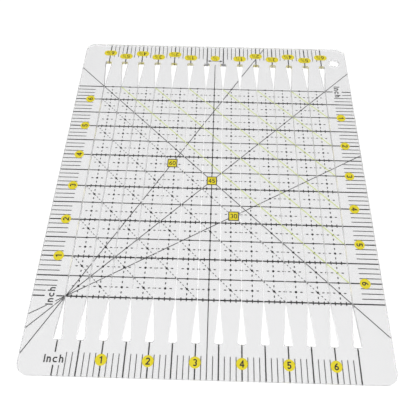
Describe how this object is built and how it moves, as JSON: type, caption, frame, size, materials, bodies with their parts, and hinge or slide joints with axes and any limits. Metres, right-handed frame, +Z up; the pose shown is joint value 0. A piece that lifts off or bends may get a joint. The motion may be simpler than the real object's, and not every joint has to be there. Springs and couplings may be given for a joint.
{
  "type": "quilting ruler",
  "caption": "Clear acrylic quilting ruler with parallel cutting slots, printed inch grid, angle lines and edge scales, and a hanging hole.",
  "frame": {"origin": "middle of the underside, in the plane of the ink films' lower faces", "axes": "+Z up through the plate, +X to the right of the near scale's reader, +Y away from that reader along the slots"},
  "size_m": [0.2032, 0.254, 0.0026],
  "materials": {
    "clear_acrylic": "clear, polished faces with laser-cut edges",
    "black_ink": "matt screen ink",
    "yellow_ink": "matt screen ink",
    "lime_ink": "matt screen ink"
  },
  "bodies": {
    "root": {"acrylic_plate": "clear_acrylic", "angle_badge_borders": "black_ink", "angle_badge_faces": "yellow_ink", "angle_badge_numerals": "black_ink", "angle_line_30": "black_ink", "angle_line_45": "black_ink", "angle_line_60": "black_ink", "bias_lines": "lime_ink", "centre_line": "black_ink", "far_eighth_inch_ticks": "black_ink", "far_half_inch_marks": "black_ink", "half_inch_lines": "black_ink", "inch_lines": "black_ink", "left_eighth_inch_ticks": "black_ink", "left_half_inch_marks": "black_ink", "left_number_discs": "yellow_ink", "left_numerals": "black_ink", "near_eighth_inch_ticks": "black_ink", "near_half_inch_marks": "black_ink", "near_number_discs": "yellow_ink", "near_numerals": "black_ink", "right_eighth_inch_ticks": "black_ink", "right_half_inch_marks": "black_ink", "right_number_discs": "yellow_ink", "right_numerals": "black_ink", "square_corner_line": "black_ink", "strip_width_arrow": "black_ink", "strip_width_numerals": "black_ink", "strip_width_pills": "yellow_ink", "unit_words": "black_ink"}
  },
  "joints": []
}
